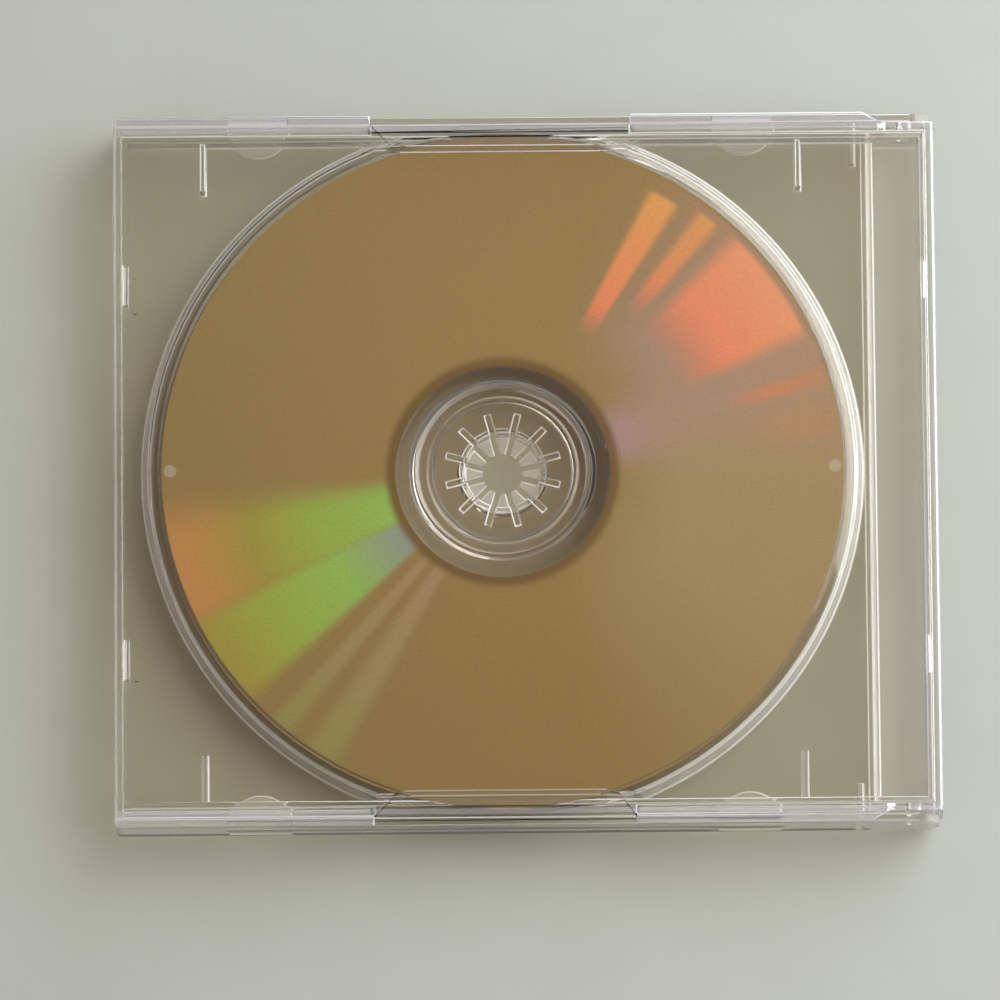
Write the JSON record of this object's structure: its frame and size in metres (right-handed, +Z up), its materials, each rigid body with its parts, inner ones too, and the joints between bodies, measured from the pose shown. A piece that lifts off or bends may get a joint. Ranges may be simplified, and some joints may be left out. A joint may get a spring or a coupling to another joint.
{
  "type": "game disc case",
  "caption": "Clear hinged case that holds one round disc on a spring-fingered hub, shown closed and lying on its front.",
  "frame": {"origin": "middle of the closed case, on the outer face of the lid that it lies on", "axes": "+X from the opening edge to the hinge edge, +Y along the hinge, +Z up from the lid to the back cover"},
  "size_m": [0.142, 0.125, 0.01],
  "materials": {
    "clear_case": "gloss",
    "clear_tray": "gloss",
    "gold_disc": "gloss"
  },
  "bodies": {
    "lid": {"front_lid": "clear_case"},
    "back": {"back_cover": "clear_case", "disc_tray": "clear_tray", "disc": "gold_disc"}
  },
  "joints": [
    {"name": "lid_hinge", "type": "hinge", "parent": "lid", "child": "back", "pos_m": [0.066, 0, 0.005], "axis": [0, 1, 0], "range_deg": [0, 180]}
  ]
}
